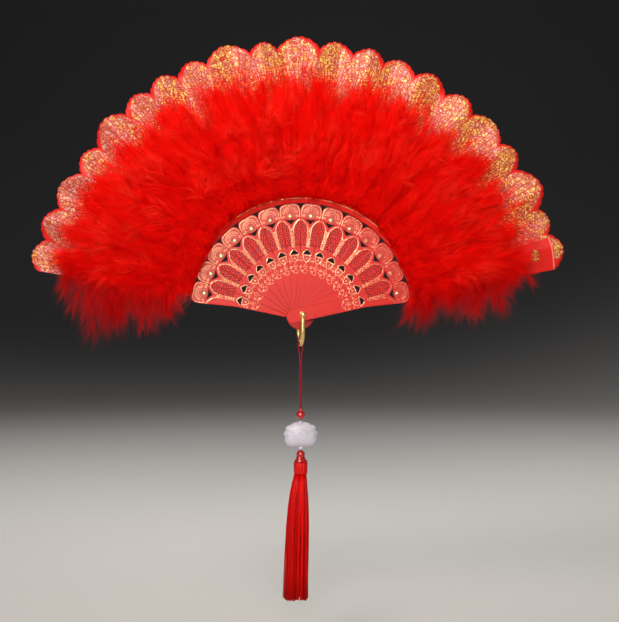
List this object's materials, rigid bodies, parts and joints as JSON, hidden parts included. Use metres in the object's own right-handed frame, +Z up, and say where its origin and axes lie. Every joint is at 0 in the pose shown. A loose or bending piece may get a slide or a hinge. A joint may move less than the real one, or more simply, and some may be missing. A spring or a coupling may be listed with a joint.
{
  "type": "folding feather fan",
  "caption": "Folding hand fan with pierced plastic sticks, a pleated scalloped satin leaf, a band of red down feathers and a beaded tassel on a bail.",
  "frame": {"origin": "on the pivot pin's axis, half way through the stack of sticks, where a hand holds the fan", "axes": "+Z up as the fan is held open, +X to the viewer's right, -Y towards the viewer on the feathered side"},
  "size_m": [0.4373, 0.0595, 0.4616],
  "materials": {
    "stick_plastic": "satin",
    "leaf_satin": "satin",
    "feather_down": "matte",
    "gilt_metal": "polished",
    "cord": "satin",
    "bead": "gloss",
    "lotus_resin": "satin",
    "tassel_thread": "satin"
  },
  "bodies": {
    "front_guard": {"guard_front": "stick_plastic", "pivot_pin": "gilt_metal", "pin_nut": "gilt_metal", "leaf_hem_front": "leaf_satin", "leaf_pleat_01": "leaf_satin", "feather_end_front": "feather_down", "feather_tuft_01": "feather_down"},
    "inner_stick_01": {"stick_01": "stick_plastic", "leaf_pleat_02": "leaf_satin", "feather_tuft_02": "feather_down"},
    "inner_stick_02": {"stick_02": "stick_plastic", "leaf_pleat_03": "leaf_satin", "feather_tuft_03": "feather_down"},
    "inner_stick_03": {"stick_03": "stick_plastic", "leaf_pleat_04": "leaf_satin", "feather_tuft_04": "feather_down"},
    "inner_stick_04": {"stick_04": "stick_plastic", "leaf_pleat_05": "leaf_satin", "feather_tuft_05": "feather_down"},
    "inner_stick_05": {"stick_05": "stick_plastic", "leaf_pleat_06": "leaf_satin", "feather_tuft_06": "feather_down"},
    "inner_stick_06": {"stick_06": "stick_plastic", "leaf_pleat_07": "leaf_satin", "feather_tuft_07": "feather_down"},
    "inner_stick_07": {"stick_07": "stick_plastic", "leaf_pleat_08": "leaf_satin", "feather_tuft_08": "feather_down"},
    "inner_stick_08": {"stick_08": "stick_plastic", "leaf_pleat_09": "leaf_satin", "feather_tuft_09": "feather_down"},
    "inner_stick_09": {"stick_09": "stick_plastic", "leaf_pleat_10": "leaf_satin", "feather_tuft_10": "feather_down"},
    "inner_stick_10": {"stick_10": "stick_plastic", "leaf_pleat_11": "leaf_satin", "feather_tuft_11": "feather_down"},
    "inner_stick_11": {"stick_11": "stick_plastic", "leaf_pleat_12": "leaf_satin", "feather_tuft_12": "feather_down"},
    "inner_stick_12": {"stick_12": "stick_plastic", "leaf_pleat_13": "leaf_satin", "feather_tuft_13": "feather_down"},
    "rear_guard": {"guard_rear": "stick_plastic", "leaf_hem_rear": "leaf_satin", "feather_end_rear": "feather_down"},
    "bail": {"bail": "gilt_metal"},
    "cord": {"hanging_cord": "cord"},
    "pendant": {"core_cord": "cord", "upper_bead": "bead", "lotus_pendant": "lotus_resin", "lower_bead": "bead", "tassel_cap": "tassel_thread", "tassel_collar": "tassel_thread", "tassel_skirt": "tassel_thread"}
  },
  "joints": [
    {"name": "fold_01", "type": "hinge", "parent": "front_guard", "child": "inner_stick_01", "pos_m": [0, 0, 0], "axis": [0, 1, 0], "range_deg": [0, 12], "deforming": ["leaf_pleat_01", "feather_tuft_01"]},
    {"name": "fold_02", "type": "hinge", "parent": "inner_stick_01", "child": "inner_stick_02", "pos_m": [0, 0, 0], "axis": [0, 1, 0], "range_deg": [0, 12], "deforming": ["leaf_pleat_02", "feather_tuft_02"]},
    {"name": "fold_03", "type": "hinge", "parent": "inner_stick_02", "child": "inner_stick_03", "pos_m": [0, 0, 0], "axis": [0, 1, 0], "range_deg": [0, 12], "deforming": ["leaf_pleat_03", "feather_tuft_03"]},
    {"name": "fold_04", "type": "hinge", "parent": "inner_stick_03", "child": "inner_stick_04", "pos_m": [0, 0, 0], "axis": [0, 1, 0], "range_deg": [0, 12], "deforming": ["leaf_pleat_04", "feather_tuft_04"]},
    {"name": "fold_05", "type": "hinge", "parent": "inner_stick_04", "child": "inner_stick_05", "pos_m": [0, 0, 0], "axis": [0, 1, 0], "range_deg": [0, 12], "deforming": ["leaf_pleat_05", "feather_tuft_05"]},
    {"name": "fold_06", "type": "hinge", "parent": "inner_stick_05", "child": "inner_stick_06", "pos_m": [0, 0, 0], "axis": [0, 1, 0], "range_deg": [0, 12], "deforming": ["leaf_pleat_06", "feather_tuft_06"]},
    {"name": "fold_07", "type": "hinge", "parent": "inner_stick_06", "child": "inner_stick_07", "pos_m": [0, 0, 0], "axis": [0, 1, 0], "range_deg": [0, 12], "deforming": ["leaf_pleat_07", "feather_tuft_07"]},
    {"name": "fold_08", "type": "hinge", "parent": "inner_stick_07", "child": "inner_stick_08", "pos_m": [0, 0, 0], "axis": [0, 1, 0], "range_deg": [0, 12], "deforming": ["leaf_pleat_08", "feather_tuft_08"]},
    {"name": "fold_09", "type": "hinge", "parent": "inner_stick_08", "child": "inner_stick_09", "pos_m": [0, 0, 0], "axis": [0, 1, 0], "range_deg": [0, 12], "deforming": ["leaf_pleat_09", "feather_tuft_09"]},
    {"name": "fold_10", "type": "hinge", "parent": "inner_stick_09", "child": "inner_stick_10", "pos_m": [0, 0, 0], "axis": [0, 1, 0], "range_deg": [0, 12], "deforming": ["leaf_pleat_10", "feather_tuft_10"]},
    {"name": "fold_11", "type": "hinge", "parent": "inner_stick_10", "child": "inner_stick_11", "pos_m": [0, 0, 0], "axis": [0, 1, 0], "range_deg": [0, 12], "deforming": ["leaf_pleat_11", "feather_tuft_11"]},
    {"name": "fold_12", "type": "hinge", "parent": "inner_stick_11", "child": "inner_stick_12", "pos_m": [0, 0, 0], "axis": [0, 1, 0], "range_deg": [0, 12], "deforming": ["leaf_pleat_12", "feather_tuft_12"]},
    {"name": "fold_13", "type": "hinge", "parent": "inner_stick_12", "child": "rear_guard", "pos_m": [0, 0, 0], "axis": [0, 1, 0], "range_deg": [0, 12], "deforming": ["leaf_pleat_13", "feather_tuft_13", "leaf_hem_rear", "feather_end_rear"]},
    {"name": "bail_swing", "type": "hinge", "parent": "front_guard", "child": "bail", "pos_m": [0, 0, 0], "axis": [0, 1, 0], "range_deg": [-50, 50]},
    {"name": "cord_swing", "type": "hinge", "parent": "bail", "child": "cord", "pos_m": [0, 0, -0.0256], "axis": [0, 1, 0], "range_deg": [-35, 35]},
    {"name": "pendant_swing", "type": "hinge", "parent": "cord", "child": "pendant", "pos_m": [0, 0, -0.0796], "axis": [1, 0, 0], "range_deg": [-25, 25]}
  ],
  "couplings": [
    {"joint": "fold_02", "follows": "fold_01", "ratio": 1},
    {"joint": "fold_03", "follows": "fold_01", "ratio": 1},
    {"joint": "fold_04", "follows": "fold_01", "ratio": 1},
    {"joint": "fold_05", "follows": "fold_01", "ratio": 1},
    {"joint": "fold_06", "follows": "fold_01", "ratio": 1},
    {"joint": "fold_07", "follows": "fold_01", "ratio": 1},
    {"joint": "fold_08", "follows": "fold_01", "ratio": 1},
    {"joint": "fold_09", "follows": "fold_01", "ratio": 1},
    {"joint": "fold_10", "follows": "fold_01", "ratio": 1},
    {"joint": "fold_11", "follows": "fold_01", "ratio": 1},
    {"joint": "fold_12", "follows": "fold_01", "ratio": 1},
    {"joint": "fold_13", "follows": "fold_01", "ratio": 1}
  ]
}
